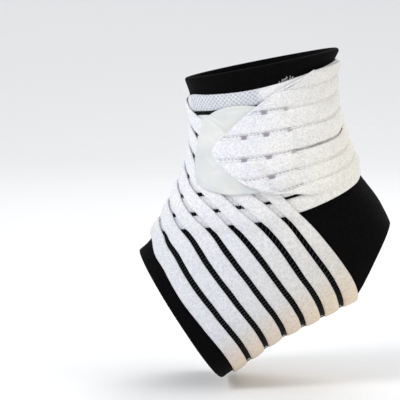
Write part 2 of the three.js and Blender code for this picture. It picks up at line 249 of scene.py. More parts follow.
def mesh_of(name, points, faces, uv):
    """Closed mesh from points in millimetres, faces as lists of point numbers, and a UV pair per point in
    metres. Its faces are turned outwards."""
    mesh = bpy.data.meshes.new(name)
    mesh.from_pydata((points.reshape(-1, 3) * MM).tolist(), [], faces)
    layer = mesh.uv_layers.new(name=CLOTH_MAP)
    corners = np.empty(len(mesh.loops), dtype=np.int32)
    mesh.loops.foreach_get("vertex_index", corners)
    layer.data.foreach_set("uv", uv.reshape(-1, 2)[corners].astype(np.float32).ravel())
    work = bmesh.new()
    work.from_mesh(mesh)
    bmesh.ops.recalc_face_normals(work, faces=work.faces)
    work.to_mesh(mesh)
    work.free()
    mesh.update()
    return mesh


def mark(mesh, name, values):
    """Keeps one number for each point of a mesh under a name that its material reads."""
    mesh.attributes.new(name, "FLOAT", "POINT").data.foreach_set("value", values)


def grid_faces(rows, columns, close_rows=False, close_columns=False, first=0):
    """Quads between neighbouring points of a grid that is numbered row by row."""
    i = np.arange(rows if close_rows else rows - 1)[:, None]
    j = np.arange(columns if close_columns else columns - 1)[None, :]
    i2, j2 = (i + 1) % rows, (j + 1) % columns
    quads = np.stack([i * columns + j, i2 * columns + j, i2 * columns + j2, i * columns + j2], -1)
    return (quads.reshape(-1, 4) + first).tolist()


def slab(name, top, bottom, uv):
    """Closed sheet between two grids of the same size, joined by a strip round their rim."""
    rows, columns = top.shape[:2]
    count = rows * columns
    number = np.arange(count).reshape(rows, columns)
    rim = np.concatenate([number[:-1, 0], number[-1, :-1], number[:0:-1, -1], number[0, :0:-1]])
    following = np.roll(rim, -1)
    faces = grid_faces(rows, columns) + grid_faces(rows, columns, first=count)
    faces += np.stack([rim, following, following + count, rim + count], -1).tolist()
    points = np.concatenate([top.reshape(-1, 3), bottom.reshape(-1, 3)])
    return mesh_of(name, points, faces, np.concatenate([uv.reshape(-1, 2)] * 2) * MM)


def tubes(name, paths, outward, radius, sides=4):
    """Thin round tubes along many paths at once. paths and outward are arrays of paths by stations by 3.
    Each ring lies square to its path, and starts from the side square to the outward direction."""
    count, stations = paths.shape[:2]
    way = unit(np.gradient(paths, axis=1))
    aside = unit(np.cross(way, outward))
    over = np.cross(aside, way)
    turn = np.arange(sides) * 2 * math.pi / sides
    ring = aside[:, :, None] * np.cos(turn)[:, None] + over[:, :, None] * np.sin(turn)[:, None]
    points = paths[:, :, None] + radius * ring
    size = stations * sides
    one = np.array(grid_faces(stations, sides, close_columns=True))
    faces = (one[None] + np.arange(count)[:, None, None] * size).reshape(-1, 4).tolist()
    for first in range(0, count * size, size):
        faces.append(list(range(first, first + sides)))
        faces.append(list(range(first + size - sides, first + size)))
    steps = np.linalg.norm(np.diff(paths, axis=1), axis=2)
    along = np.concatenate([np.zeros((count, 1)), np.cumsum(steps, axis=1)], axis=1)
    along, around = np.broadcast_arrays(along[:, :, None], turn * radius)
    return mesh_of(name, points, faces, np.stack([along, around], -1) * MM)


# %% [markdown]
# Materials are small trees of nodes. These helpers keep each one readable: one adds a node with its
# settings, one does a sum, and one draws knit stitches. A knit is rows of small V shapes: a wave along
# the cloth whose phase is pushed forward by the distance from the middle of its column of stitches.

# %% Small helpers for materials
KNIT_WAVE = 0.35
MIX_COLOURS = (6, 7)
MIX_RESULT = 2


def fill(tree, socket, value):
    """Links an input to another node's output, or sets its plain value. A colour is three numbers."""
    if isinstance(value, bpy.types.NodeSocket):
        tree.links.new(value, socket)
    elif socket.type == "RGBA":
        socket.default_value = (*value, 1)
    else:
        socket.default_value = value


def material_with(name, base, roughness):
    """Material with one principled shader, whose plain values sit on its own sockets."""
    material = bpy.data.materials.new(name)
    material.use_nodes = True
    tree = material.node_tree
    shader = tree.nodes["Principled BSDF"]
    fill(tree, shader.inputs["Base Color"], base)
    fill(tree, shader.inputs["Roughness"], roughness)
    return material, tree, shader


def node(tree, kind, settings=None, **inputs):
    """Adds a node, sets its own settings, and fills its inputs by name."""
    made = tree.nodes.new(kind)
    for key, value in (settings or {}).items():
        setattr(made, key, value)
    for key, value in inputs.items():
        fill(tree, made.inputs[key.replace("_", " ")], value)
    return made


def sum_of(tree, operation, *values):
    """One Math node on up to three values, which may be numbers or sockets."""
    made = node(tree, "ShaderNodeMath", {"operation": operation})
    for socket, value in zip(made.inputs, values):
        fill(tree, socket, value)
    return made.outputs[0]


def faded(tree, factor, one, other, blend="MIX"):
    """Colour between two others, or one multiplied by the other. A Mix node has sockets of every kind, so
    its colours are found by number."""
    made = node(tree, "ShaderNodeMix", {"data_type": "RGBA", "blend_type": blend})
    fill(tree, made.inputs[0], factor)
    for number, value in zip(MIX_COLOURS, (one, other)):
        fill(tree, made.inputs[number], value)
    return made.outputs[MIX_RESULT]


def ranged(tree, value, low, high, to_low=0.0, to_high=1.0):
    """Maps a value from one range to another and stays inside it."""
    made = node(tree, "ShaderNodeMapRange", Value=value, From_Min=low, From_Max=high,
                To_Min=to_low, To_Max=to_high)
    return made.outputs[0]


def knit_height(tree, along, across, stitch_long, stitch_wide, slant):
    """Height of knit stitches, at most 1. across is cut into columns, the distance from a column's middle
    pushes the wave along the cloth forward, and the columns sink at their edges by its cube."""
    column = sum_of(tree, "FRACT", sum_of(tree, "DIVIDE", across, stitch_wide))
    aside = sum_of(tree, "ABSOLUTE", sum_of(tree, "SUBTRACT", column, 0.5))
    turns = sum_of(tree, "MULTIPLY_ADD", aside, slant, sum_of(tree, "DIVIDE", along, stitch_long))
    wave = sum_of(tree, "SINE", sum_of(tree, "MULTIPLY", turns, 2 * math.pi))
    edge = sum_of(tree, "POWER", sum_of(tree, "MULTIPLY", aside, 2.0), 3.0)
    return sum_of(tree, "MULTIPLY_ADD", wave, KNIT_WAVE, sum_of(tree, "SUBTRACT", 1 - KNIT_WAVE, edge))


# %% [markdown]
# The sleeve is closed-cell foam with a thin jersey glued to both faces. The jersey is black and dull,
# with a soft sheen where it turns away. Its stitches are only about a millimetre long, so they are bump,
# and a slow noise stands for the way the foam takes up small dents.

# %% Black jersey over foam
JERSEY_STITCH = 0.0011
JERSEY_SLANT = 0.7
JERSEY_DARK = (0.0009, 0.0009, 0.0012)
JERSEY_LIGHT = (0.0032, 0.0032, 0.0038)


def jersey():
    """Dull black knit: lint tints it at random and its stitches darken their grooves as painted shade;
    stitches and dents raise it.
    """
    material, tree, shader = material_with("black_jersey", JERSEY_LIGHT, 0.9)
    shader.inputs["Sheen Weight"].default_value = 0.01
    shader.inputs["Sheen Roughness"].default_value = 0.5
    shader.inputs["Specular IOR Level"].default_value = 0.06
    uv = node(tree, "ShaderNodeUVMap", {"uv_map": CLOTH_MAP})
    split = node(tree, "ShaderNodeSeparateXYZ", Vector=uv.outputs[0])
    knit = knit_height(tree, split.outputs[1], split.outputs[0], JERSEY_STITCH, JERSEY_STITCH, JERSEY_SLANT)
    place = node(tree, "ShaderNodeTexCoord").outputs["Object"]
    dents = node(tree, "ShaderNodeTexNoise", Vector=place, Scale=90.0, Detail=3.0).outputs[0]
    lint = node(tree, "ShaderNodeTexNoise", Vector=place, Scale=900.0, Detail=2.0).outputs[0]
    # painted shade in the stitches' grooves, over a random lint of the jersey's own tone
    lint_and_groove_shade = ranged(tree, sum_of(tree, "ADD", lint, sum_of(tree, "MULTIPLY", knit, 0.12)), 0.45, 0.85)
    fill(tree, shader.inputs["Base Color"], faded(tree, lint_and_groove_shade, JERSEY_DARK, JERSEY_LIGHT))
    fine = node(tree, "ShaderNodeBump", Strength=0.5, Distance=0.0002, Height=knit)
    broad = node(tree, "ShaderNodeBump", Strength=0.4, Distance=0.0012, Height=dents, Normal=fine.outputs[0])
    fill(tree, shader.inputs["Normal"], broad.outputs[0])
    return material


JERSEY = jersey()

# %% [markdown]
# The sleeve's wall is a loop carried round the leg: down the outer skin, round the foot rim, back up
# the inner skin and round the leg rim. The rims are rolled by a half circle. The heel hole is a clean
# cut across the heel, so the wall is cut by a plane there and the cut lips are joined by a strip.

# %% The sleeve
ROUND_STEPS = 240
BAND_STEPS = 110
RIM_STEPS = 6
RIM_ROLL = 1.2
HEEL_HOLE_DEPTH = 10.8
HEEL_CUT_ANGLE = math.radians(-26.6)
HEEL_SAMPLES = 1201
CUT_TOLERANCE = 1e-6


def wall_loop():
    """Rows, depths under the skin and distances past the rim for the points of the wall's loop."""
    down = np.linspace(0, LAST_ROW, BAND_STEPS)
    turn = np.linspace(0, math.pi, RIM_STEPS + 2)[1:-1]
    roll_depth = SLEEVE_WALL / 2 * (1 - np.cos(turn))
    roll_past = RIM_ROLL * np.sin(turn)
    rows = np.concatenate([down, np.full(RIM_STEPS, LAST_ROW), down[::-1], np.zeros(RIM_STEPS)])
    flat = np.zeros(BAND_STEPS)
    depths = np.concatenate([flat, roll_depth, flat + SLEEVE_WALL, roll_depth[::-1]])
    past = np.concatenate([flat, roll_past, flat, -roll_past[::-1]])
    return rows, depths, past


def heel_plane():
    """Normal of the heel cut and its distance from the origin, as far in front of the heel as it is deep."""
    out = np.array([math.cos(HEEL_CUT_ANGLE), 0, math.sin(HEEL_CUT_ANGLE)])
    furthest = (skin(180.0, np.linspace(0, LAST_ROW, HEEL_SAMPLES)) @ out).max()
    return out, furthest - HEEL_HOLE_DEPTH


def sleeve():
    """The wall's loop carried round the leg, cut by the heel plane. Lengths round it, for its stitches, are
    those on a circle as wide as the brace."""
    rows, depths, past = wall_loop()
    angles = np.arange(ROUND_STEPS)[:, None] * 360 / ROUND_STEPS
    points = raised(angles, rows[None, :], -depths[None, :] * np.ones_like(angles))
    points += along_skin(angles, rows[None, :]) * past[None, :, None]
    around = angles * BRACE_WIDTH * math.pi / 360 * MM * np.ones_like(rows[None, :])
    down = length_at(angles, rows[None, :]) * MM
    faces = grid_faces(ROUND_STEPS, len(rows), close_rows=True, close_columns=True)
    mesh = mesh_of("sleeve_cloth", points, faces, np.stack([around, down], -1))
    out, distance = heel_plane()
    cut = bmesh.new()
    cut.from_mesh(mesh)
    bmesh.ops.bisect_plane(cut, geom=cut.verts[:] + cut.edges[:] + cut.faces[:], dist=CUT_TOLERANCE,
                           plane_co=Vector(out * distance * MM), plane_no=Vector(out), clear_outer=True)
    lips = [edge for edge in cut.edges if edge.is_boundary]
    joined = bmesh.ops.bridge_loops(cut, edges=lips)
    bmesh.ops.recalc_face_normals(cut, faces=cut.faces)
    print("heel hole joined by", len(joined["faces"]), "faces")
    cut.to_mesh(mesh)
    cut.free()
    return new_object("sleeve_cloth", mesh, JERSEY)


sleeve_piece = sleeve()
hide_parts("sleeve")

# %% [markdown]
# The strap's way is a table of turns. Its middle line runs level round the ankle, down the inner side,
# under the sole, up the outer side, level again, and forward to the tip. Each knot also says how wide
# the strap lies there and how wide a lane is as a share of a rib: behind the ankle the elastic is bunched
# and its lanes close, and on the foot it is stretched and they stand open. Behind the ankle the upper
# edge dips up to two millimetres lower than the solid's, as the worn strap's does.

# %% The strap's way round the brace
STRAP_WIDTH = 80.0
STRAP_THICKNESS = 1.6
RIB_COUNT = 7
START_TURN = -216.0
BACK_TURN = 540.0
TIP_TURN = 671.0
UPPER_TAPER = 84.0
LOWER_TAPER = 62.0
TAPER_POWER = 1.28
ROW_MARGIN = 0.12
FAN_POWER = 2.5
PINCH_POWER = 1.5
# angle, then row, spread, fan, pinch and lane of the ankle turn
ANKLE = np.array([
    [0, 3.90, 1.01, 0, 0, 0.20],
    [20, 3.67, 1.01, 0, 0, 0.22],
    [40, 3.54, 0.96, 0, 0, 0.24],
    [60, 3.39, 0.91, 0, 0, 0.22],
    [80, 3.31, 0.90, 0, 0, 0.19],
    [100, 3.17, 0.89, 0, 0, 0.15],
    [120, 2.99, 0.88, 0, 0, 0.10],
    [150, 2.73, 0.87, -0.06, 0, 0.07],
    [180, 2.52, 0.85, -0.12, 0, 0.06],
])
# the same for the sole turn, whose upper ribs fan out where they leave the ankle
SOLE = np.array([
    [0, 3.90, 1.010, 0.00, 0, 0.20],
    [20, 4.49, 0.975, 0.12, 0, 0.22],
    [40, 5.57, 0.980, 0.50, 0, 0.30],
    [60, 6.68, 1.010, 0.78, 0, 0.35],
    [80, 7.76, 1.040, 1.00, 0, 0.35],
    [100, 8.48, 1.035, 0.31, 0, 0.35],
    [120, 8.96, 1.020, 0.09, 0, 0.35],
    [150, 9.48, 1.000, 0.00, 0, 0.34],
    [180, 9.67, 1.000, 0.00, 0, 0.32],
])
# the same for the free end, whose lower ribs are pinched together
END = np.array([
    [180, 2.52, 0.88, -0.20, 0.20, 0.06],
    [150, 2.79, 0.98, -0.22, 0.37, 0.06],
    [120, 2.92, 1.05, -0.42, 0.39, 0.06],
    [100, 3.00, 1.08, -0.25, 0.44, 0.06],
    [80, 3.06, 1.10, -0.10, 0.35, 0.06],
    [60, 3.08, 1.10, 0.00, 0.35, 0.06],
    [40, 3.08, 1.10, 0.00, 0.35, 0.06],
])
# on the free end each lane closes differently, until a seam across it holds all of them open
LANE_FACTORS = np.array([0.5, 0.6, 0.8, 1.8, 0.9, 0.7])
SEAM_TURN = 613.5
SEWN_LANE = 0.20
# degrees over which the lanes change
END_EASE = 25
SEAM_EASE = 2


def lap(part, turn_of):
    """Knots of one lap, with their angles changed to turns."""
    return np.column_stack([turn_of(part[:, 0]), part[:, 1:]])


ROUTE = np.vstack([
    lap(ANKLE[:-1], lambda angle: angle - 360), lap(ANKLE[1:], lambda angle: -angle),
    lap(SOLE, lambda angle: angle), lap(SOLE[1:-1], lambda angle: 360 - angle),
    lap(ANKLE[:-1], lambda angle: angle + 360), lap(END, lambda angle: 720 - angle),
])
ROUTE = ROUTE[np.argsort(ROUTE[:, 0])]


def strap_at(turn):
    """Row of the strap's middle line, its spread, fan and pinch in millimetres, and its lanes' share."""
    row, spread, fan, pinch, lane = np.moveaxis(through_knots(ROUTE[:, 0], ROUTE[:, 1:], turn), -1, 0)
    return row, np.stack([spread, fan, pinch]) * STRAP_WIDTH, lane


def offset_across(sizes, across):
    """Distance from the middle line at a share of the width, 0 at the upper edge and 1 at the lower.
    The upper half fans out and the lower half is pinched by powers of the distance from the middle."""
    spread, fan, pinch = sizes
    above, below = np.maximum(0.5 - across, 0), np.maximum(across - 0.5, 0)
    return (across - 0.5) * spread - fan * above ** FAN_POWER - pinch * below ** PINCH_POWER


def row_across(turn, across):
    """Row at a share of the strap's width."""
    middle, sizes, _ = strap_at(turn)
    row = row_at(-turn, length_at(-turn, middle) + offset_across(sizes, across))
    return np.clip(row, ROW_MARGIN, LAST_ROW - ROW_MARGIN)


def end_turn(across):
    """Turn at which a line across the strap stops, so that its end is a blunt leaf."""
    taper = np.where(across < 0.5, UPPER_TAPER, LOWER_TAPER)
    return TIP_TURN - taper * np.abs(2 * across - 1) ** TAPER_POWER


def lane_shares(turn):
    """Width of each of the six lanes as a share of a rib's width, with one more column per lane."""
    lane = strap_at(turn)[2][..., None]
    on_end = smooth_step(BACK_TURN, BACK_TURN + END_EASE, turn)[..., None]
    sewn = smooth_step(SEAM_TURN - SEAM_EASE, SEAM_TURN + SEAM_EASE, turn)[..., None]
    wide = lane * (1 + (LANE_FACTORS - 1) * on_end)
    return wide + (SEWN_LANE - wide) * sewn


def rib_span(turn, rib):
    """Both edges of a rib as shares of the strap's width."""
    lanes = lane_shares(turn)
    width = 1 / (RIB_COUNT + lanes.sum(-1))
    start = width * (rib + lanes[..., :rib].sum(-1))
    return start, start + width


# %% [markdown]
# Layers pile up where the strap crosses itself. Each layer's under side rises over every earlier lap
# that lies below it and comes down a short ramp past its edge. It also sags a little into the lanes of
# the lap below, which is what makes the crossings on the front of the ankle look soft.

# %% How high each layer lies
LAYER_GAP = 0.15
CROWN_ROOM = 0.35
LIFT = STRAP_THICKNESS + CROWN_ROOM
COVER_FLAT = 0.6
COVER_RAMP = 4.0
LANE_SAG = 0.35
# half width of the sag as a share of a rib: this much of the lane, and a little beside it
SAG_LANE = 0.5
SAG_BESIDE = 0.04
TAB_ANGLE = 68.0
TAB_ROW = 3.05
TAB_LENGTH = 54.0
TAB_WIDTH = 48.0
TAB_THICKNESS = 1.2
TAB_POWER = 2.8
TAB_BLUNT = 0.4


def cover(outside):
    """1 over a layer, 0 past the ramp at its edge."""
    return 1 - smooth_step(COVER_FLAT, COVER_FLAT + COVER_RAMP, outside)


tab_middle = skin(TAB_ANGLE, TAB_ROW)
TAB_MM_PER_DEGREE = float(np.linalg.norm(skin(TAB_ANGLE + 1, TAB_ROW) - tab_middle))


def outside_tab(angle, row):
    """Distance outside the tab's outline, a superellipse in lengths round and down the skin."""
    long = np.abs(angle - TAB_ANGLE) * TAB_MM_PER_DEGREE
    wide = np.abs(length_at(angle, row) - length_at(angle, np.full_like(row, TAB_ROW)))
    share = (2 * long / TAB_LENGTH) ** TAB_POWER + (2 * wide / TAB_WIDTH) ** TAB_POWER
    return (share ** (1 / TAB_POWER) - 1) * TAB_WIDTH / 2


def layer_floor(turn, row):
    """Height of a layer's under side: the gap, and one lift for each earlier lap below."""
    place = length_at(-turn, row)
    height = np.full(np.shape(place), LAYER_GAP)
    for laps_before in (1, 2):
        under = turn - 360 * laps_before
        middle, sizes, lane = strap_at(under)
        offset = place - length_at(-turn, middle)
        before = np.maximum(START_TURN - under, 0) * TAB_MM_PER_DEGREE
        beside = np.maximum(offset_across(sizes, 0.0) - offset, offset - offset_across(sizes, 1.0))
        outside = np.maximum(beside, before)
        pitch = (1 + lane) / (RIB_COUNT + (RIB_COUNT - 1) * lane)
        step = np.mod((offset / sizes[0] + 0.5) / pitch, 1)
        to_lane = np.abs(step - (1 + lane / 2) / (1 + lane))
        sag = LANE_SAG * np.exp(-((to_lane / (SAG_LANE * lane + SAG_BESIDE)) ** 2))
        height += np.where(before > COVER_FLAT + COVER_RAMP, 0, cover(outside) * (LIFT - sag))
    return height


# %% [markdown]
# The strap's ribs are knit tubes, nearly flat where they lie on what is below them. Cut across, a rib is
# a rounded bar whose top is a little crowned, and behind the ankle, where the elastic is bunched, the
# crown is higher. Real ribs are never ruled straight: their edges wander by about a tenth of a
# millimetre, so slow waves are added to their place, different for each rib but the same in every run.

# %% The knit ribs as arrays
STATIONS = 900
END_SHARE = 0.17
RIB_POINTS = 12
CROWN = 0.25
BUNCH_CROWN = 0.95
# powers below one make a rib's section squarer than an ellipse
SIDE_POWER = 0.5
HEIGHT_POWER = 0.7
# the strap is bunched past these degrees from the front, where its lanes are narrower than these shares
BUNCH_ANGLES = (90, 150)
BUNCH_LANES = (0.10, 0.20)
WANDER = 0.12
WANDER_PHASE = 2.4
# along the strap in millimetres, and how much of the wander each wave carries
WANDER_WAVES = ((61.0, 0.5), (27.0, 0.3), (11.0, 0.2))
LATTICE = "lattice"
# turns between which the uppermost rib's open mesh begins and ends
LATTICE_START = (-90, -84)
LATTICE_STOP = (-20, -12)


def wander(turn, rib):
    """Slow waves along a rib, from -1 to 1, out of step with those of the other ribs."""
    place = turn * TAB_MM_PER_DEGREE
    return sum(part * np.sin(2 * math.pi * place / wave + rib * (WANDER_PHASE + wave))
               for wave, part in WANDER_WAVES)


def turns_along(across):
    """Turns of the stations along lines across the strap: even steps to the back of the ankle, and then
    an end that each line reaches at its own turn."""
    share = np.linspace(0, 1, STATIONS)[:, None]
    wound = START_TURN + (BACK_TURN - START_TURN) * share / (1 - END_SHARE)
    ending = BACK_TURN + (end_turn(across)[None, :] - BACK_TURN) * (share - 1 + END_SHARE) / END_SHARE
    return np.where(share < 1 - END_SHARE, wound, ending)


def strap_floor(turn, row):
    """Height of the strap's under side, which at its free end also clears the tab."""
    on_tab = cover(outside_tab(720 - turn, row)) * (TAB_THICKNESS + LAYER_GAP)
    return layer_floor(turn, row) + np.where(turn > BACK_TURN, on_tab, 0)


def bunched(turn):
    """1 where the strap is bunched behind the ankle, 0 on the foot and on the sewn end."""
    behind = smooth_step(*BUNCH_ANGLES, 180 - np.abs(np.mod(turn, 360) - 180))
    lane = strap_at(turn)[2]
    return behind * (1 - smooth_step(*BUNCH_LANES, lane))


def signed_power(values, power):
    """Power of each value's size, with its sign kept."""
    return np.sign(values) * np.abs(values) ** power


def rib_points(rib):
    """Points of one rib, station by station round its section, with their UV pairs. The section is a
    superellipse, and a crown is added to its upper half, highest in the middle."""
    section = np.arange(RIB_POINTS) * 2 * math.pi / RIB_POINTS
    aside = signed_power(np.cos(section), SIDE_POWER)
    high = 0.5 + 0.5 * signed_power(np.sin(section), HEIGHT_POWER)
    top = np.maximum(np.sin(section), 0)
    start, stop = rib_span(np.array([TIP_TURN]), rib)
    turn = turns_along((start + stop) / 2 + (stop - start) / 2 * aside)
    start, stop = rib_span(turn, rib)
    shift = wander(turn, rib) * WANDER / STRAP_WIDTH
    across = (start + stop) / 2 + (stop - start) / 2 * aside[None, :] + shift
    row = row_across(turn, across)
    crown = CROWN + (BUNCH_CROWN - CROWN) * bunched(turn)
    lift = STRAP_THICKNESS * high[None, :] + crown * (1 - aside[None, :] ** 2) * top[None, :]
    points = raised(-turn, row, strap_floor(turn, row) + lift)
    uv = np.stack([turn * TAB_MM_PER_DEGREE, across * STRAP_WIDTH], -1) * MM
    return points, uv


def strap_ribs():
    """All seven ribs as one mesh, each a closed tube with flat ends."""
    points, uvs, faces = [], [], []
    for rib in range(RIB_COUNT):
        rib_place, rib_uv = rib_points(rib)
        first = rib * STATIONS * RIB_POINTS
        faces += grid_faces(STATIONS, RIB_POINTS, close_columns=True, first=first)
        faces.append(list(range(first, first + RIB_POINTS)))
        last = first + (STATIONS - 1) * RIB_POINTS
        faces.append(list(range(last, last + RIB_POINTS)))
        points.append(rib_place.reshape(-1, 3))
        uvs.append(rib_uv.reshape(-1, 2))
    mesh = mesh_of("strap_ribs", np.concatenate(points), faces, np.concatenate(uvs))
    top_turns = uvs[0][:, 0] / MM / TAB_MM_PER_DEGREE
    lattice = np.zeros(len(mesh.vertices))
    before_end = 1 - smooth_step(*LATTICE_STOP, top_turns)
    lattice[:len(top_turns)] = smooth_step(*LATTICE_START, top_turns) * before_end
    mark(mesh, LATTICE, lattice)
    return mesh


# %% [markdown]
# The knit is white with a slow random blotch. Painted shade makes it greyer and cooler low on the foot and
# warmer behind the ankle, and painted shade with warm bounce light makes it warmest under the sole. Its
# stitches are a millimetre at most, so they are bump, and they darken their own grooves as painted shade,
# with a fine random speckle over them. The uppermost rib in front is an open diamond mesh, which an
# attribute on the mesh turns on.

# %% White elastic knit
KNIT_STITCH = 0.0010
KNIT_COLUMN = 0.0009
KNIT_SLANT = 0.8
DIAMOND = 0.00135
WHITE_COOL = (0.80, 0.81, 0.86)
WHITE_PINK = (0.86, 0.85, 0.87)
# painted shade: greyer and cooler low on the foot
FOOT_SHADE_GREY = (0.71, 0.72, 0.76)
# painted shade, warm: toward the heel side, behind the ankle and up to the leg rim behind
HEEL_SHADE_GREY = (0.70, 0.66, 0.59)
ANKLE_SHADE_CREAM = (0.90, 0.86, 0.74)
RIM_SHADE_SAND = (0.83, 0.78, 0.67)
# painted shade with painted warm bounce light from the floor, under the sole
SOLE_SHADE_AND_BOUNCE_SAND = (0.82, 0.66, 0.48)
MESH_SHADE = (0.46, 0.49, 0.56)
# how much a place counts as further back when it lies lower, and as lower when it lies further back
BACK_LEAN = -0.15
SOLE_LEAN = -0.62


def diamonds(tree, along, across):
    """0 on the threads of a diamond mesh and 1 in the middle of its holes: two slanted waves multiplied."""
    waves = []
    for slant in ("ADD", "SUBTRACT"):
        place = sum_of(tree, "DIVIDE", sum_of(tree, slant, along, across), DIAMOND)
        wave = sum_of(tree, "SINE", sum_of(tree, "MULTIPLY", place, math.pi / 2))
        waves.append(sum_of(tree, "ABSOLUTE", wave))
    return ranged(tree, sum_of(tree, "MULTIPLY", *waves), 0.25, 0.75)


def knit_tint_and_painted_light(tree, place):
    """Colour by place in metres: a slow random blotch, then painted shade that is greyer low on the foot and
    cream and sandy toward the heel side, and painted shade with warm bounce light that is sandiest under the
    sole."""
    x, _, z = node(tree, "ShaderNodeSeparateXYZ", Vector=place).outputs
    blotch = node(tree, "ShaderNodeTexNoise", Vector=place, Scale=70.0, Detail=4.0).outputs[0]
    fresh = faded(tree, ranged(tree, blotch, 0.35, 0.65), WHITE_COOL, WHITE_PINK)
    # painted shade: greyer low on the foot
    foot_shaded = faded(tree, ranged(tree, z, -0.05, -0.015, 1.0, 0.0), fresh, FOOT_SHADE_GREY)
    # painted shade: warm behind the ankle, greyer low on the heel side and sandy near the leg rim
    heel_side_shade = faded(tree, ranged(tree, z, -0.045, -0.02), HEEL_SHADE_GREY, ANKLE_SHADE_CREAM)
    behind = faded(tree, ranged(tree, z, 0.030, 0.045), heel_side_shade, RIM_SHADE_SAND)
    backward = sum_of(tree, "MULTIPLY_ADD", z, BACK_LEAN, x)
    back_shaded = faded(tree, ranged(tree, backward, -0.01, 0.05, 0.0, 0.8), foot_shaded, behind)
    # painted shade with painted warm bounce light under the sole
    under = sum_of(tree, "MULTIPLY_ADD", x, SOLE_LEAN, z)
    return faded(tree, ranged(tree, under, -0.103, -0.076, 0.9, 0.0), back_shaded, SOLE_SHADE_AND_BOUNCE_SAND)


def elastic():
    """White knit with painted shade and bounce light by place and in its stitch grooves, speckled at random,
    and open where the mesh says so.
    """
    material, tree, shader = material_with("white_elastic", WHITE_COOL, 0.85)
    shader.inputs["Sheen Weight"].default_value = 0.2
    shader.inputs["Sheen Roughness"].default_value = 0.5
    shader.inputs["Specular IOR Level"].default_value = 0.2
    uv = node(tree, "ShaderNodeUVMap", {"uv_map": CLOTH_MAP})
    split = node(tree, "ShaderNodeSeparateXYZ", Vector=uv.outputs[0])
    knit = knit_height(tree, split.outputs[0], split.outputs[1], KNIT_STITCH, KNIT_COLUMN, KNIT_SLANT)
    place = node(tree, "ShaderNodeTexCoord").outputs["Object"]
    fuzz = node(tree, "ShaderNodeTexNoise", Vector=place, Scale=1100.0, Detail=3.0).outputs[0]
    holes = diamonds(tree, split.outputs[0], split.outputs[1])
    lattice = node(tree, "ShaderNodeAttribute", {"attribute_name": LATTICE}).outputs["Fac"]
    open_mesh = sum_of(tree, "MULTIPLY", lattice, ranged(tree, holes, 0.0, 1.0, 0.25, 1.0))
    tinted = faded(tree, open_mesh, knit_tint_and_painted_light(tree, place), MESH_SHADE)
    speckle = node(tree, "ShaderNodeTexNoise", Vector=place, Scale=850.0, Detail=3.0).outputs[0]
    # painted shade in the stitches' grooves, mixed with a random speckle of the knit's own tone
    speckle_and_groove_shade = ranged(tree, sum_of(tree, "MULTIPLY_ADD", knit, 0.10, speckle), 0.38, 0.68, 0.80, 1.0)
    fill(tree, shader.inputs["Base Color"], faded(tree, 1.0, tinted, speckle_and_groove_shade, "MULTIPLY"))
    stitches = node(tree, "ShaderNodeBump", Strength=0.35, Distance=0.0002, Height=knit)
    fluff = node(tree, "ShaderNodeBump", Strength=0.5, Distance=0.0003, Height=fuzz,
                 Normal=stitches.outputs[0])
    fill(tree, shader.inputs["Normal"], fluff.outputs[0])
    return material


ELASTIC = elastic()
ribs_piece = new_object("strap_ribs", strap_ribs(), ELASTIC)
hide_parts("strap")

# %% [markdown]
# The lanes aren't empty: single bare threads cross them, about one each millimetre and a half. They are
# too thin to hide what is below them. Over the sleeve they look nearly black, and where the lane crosses
# a rib of another lap they look as white as the rib. They lie half way up the ribs, where the lane is
# wide enough to see them.

# %% The bare threads across the lanes
THREAD_PITCH = 1.5
THREAD_RADIUS = 0.06
THREAD_TUCK = 0.004
# degrees by which each lane's threads stand later than those of the lane above it
THREAD_SHIFT = 0.3
OPEN_LANE = 0.09
OVER = "over_a_rib"
# heights of the under side, low over an earlier lap's lane and high over one of its ribs
OVER_A_RIB = (1.85, 2.05)
DARK_THREAD = (0.09, 0.10, 0.11)
LIGHT_THREAD = (0.80, 0.81, 0.84)


def strap_place(turn, across, lift):
    """Point at a height over the strap's under side, and the direction out of the skin there."""
    row = row_across(turn, across)
    return raised(-turn, row, strap_floor(turn, row) + lift), out_of_skin(-turn, row)


def lane_edges(turn, lane):
    """Shares of the strap's width at both edges of a lane."""
    return rib_span(turn, lane)[1], rib_span(turn, lane + 1)[0]


def lane_threads():
    """One short thread across a lane at every pitch, where the lane is open enough to show it."""
    paths, outward, over = [], [], []
    for lane in range(RIB_COUNT - 1):
        turn = np.arange(START_TURN + 1, BACK_TURN, THREAD_PITCH / TAB_MM_PER_DEGREE)
        turn = turn[lane_shares(turn)[:, lane] > OPEN_LANE] + THREAD_SHIFT * lane
        start, stop = lane_edges(turn, lane)
        middle = (start + stop) / 2
        across = np.stack([start - THREAD_TUCK, middle, stop + THREAD_TUCK], 1)
        place, out = strap_place(turn[:, None] * np.ones(3), across, STRAP_THICKNESS / 2)
        paths.append(place)
        outward.append(out)
        over.append(smooth_step(*OVER_A_RIB, strap_floor(turn, row_across(turn, middle))))
    paths = np.concatenate(paths)
    print(len(paths), "bare threads")
    mesh = tubes("lane_threads", paths, np.concatenate(outward), THREAD_RADIUS)
    mark(mesh, OVER, np.repeat(np.concatenate(over), len(mesh.vertices) // len(paths)))
    return mesh


def thread_material(name, colour):
    """Dull thread of one colour, with its nodes."""
    material, tree, shader = material_with(name, colour, 0.6)
    shader.inputs["Specular IOR Level"].default_value = 0.3
    return material, tree, shader


def bare_thread():
    """Thread that takes its darkness from the sleeve below it, and is pale where it lies over a rib."""
    material, tree, shader = thread_material("bare_thread", DARK_THREAD)
    over = node(tree, "ShaderNodeAttribute", {"attribute_name": OVER}).outputs["Fac"]
    fill(tree, shader.inputs["Base Color"], faded(tree, over, DARK_THREAD, LIGHT_THREAD))
    return material


threads_piece = new_object("lane_threads", lane_threads(), bare_thread())

# %% [markdown]
# Behind the ankle the lanes are drawn shut and their threads are bunched into a soft cord between the
# ribs, which keeps the grooves shallow and light. Only one lane of the free end stands open to the shade
# below it.

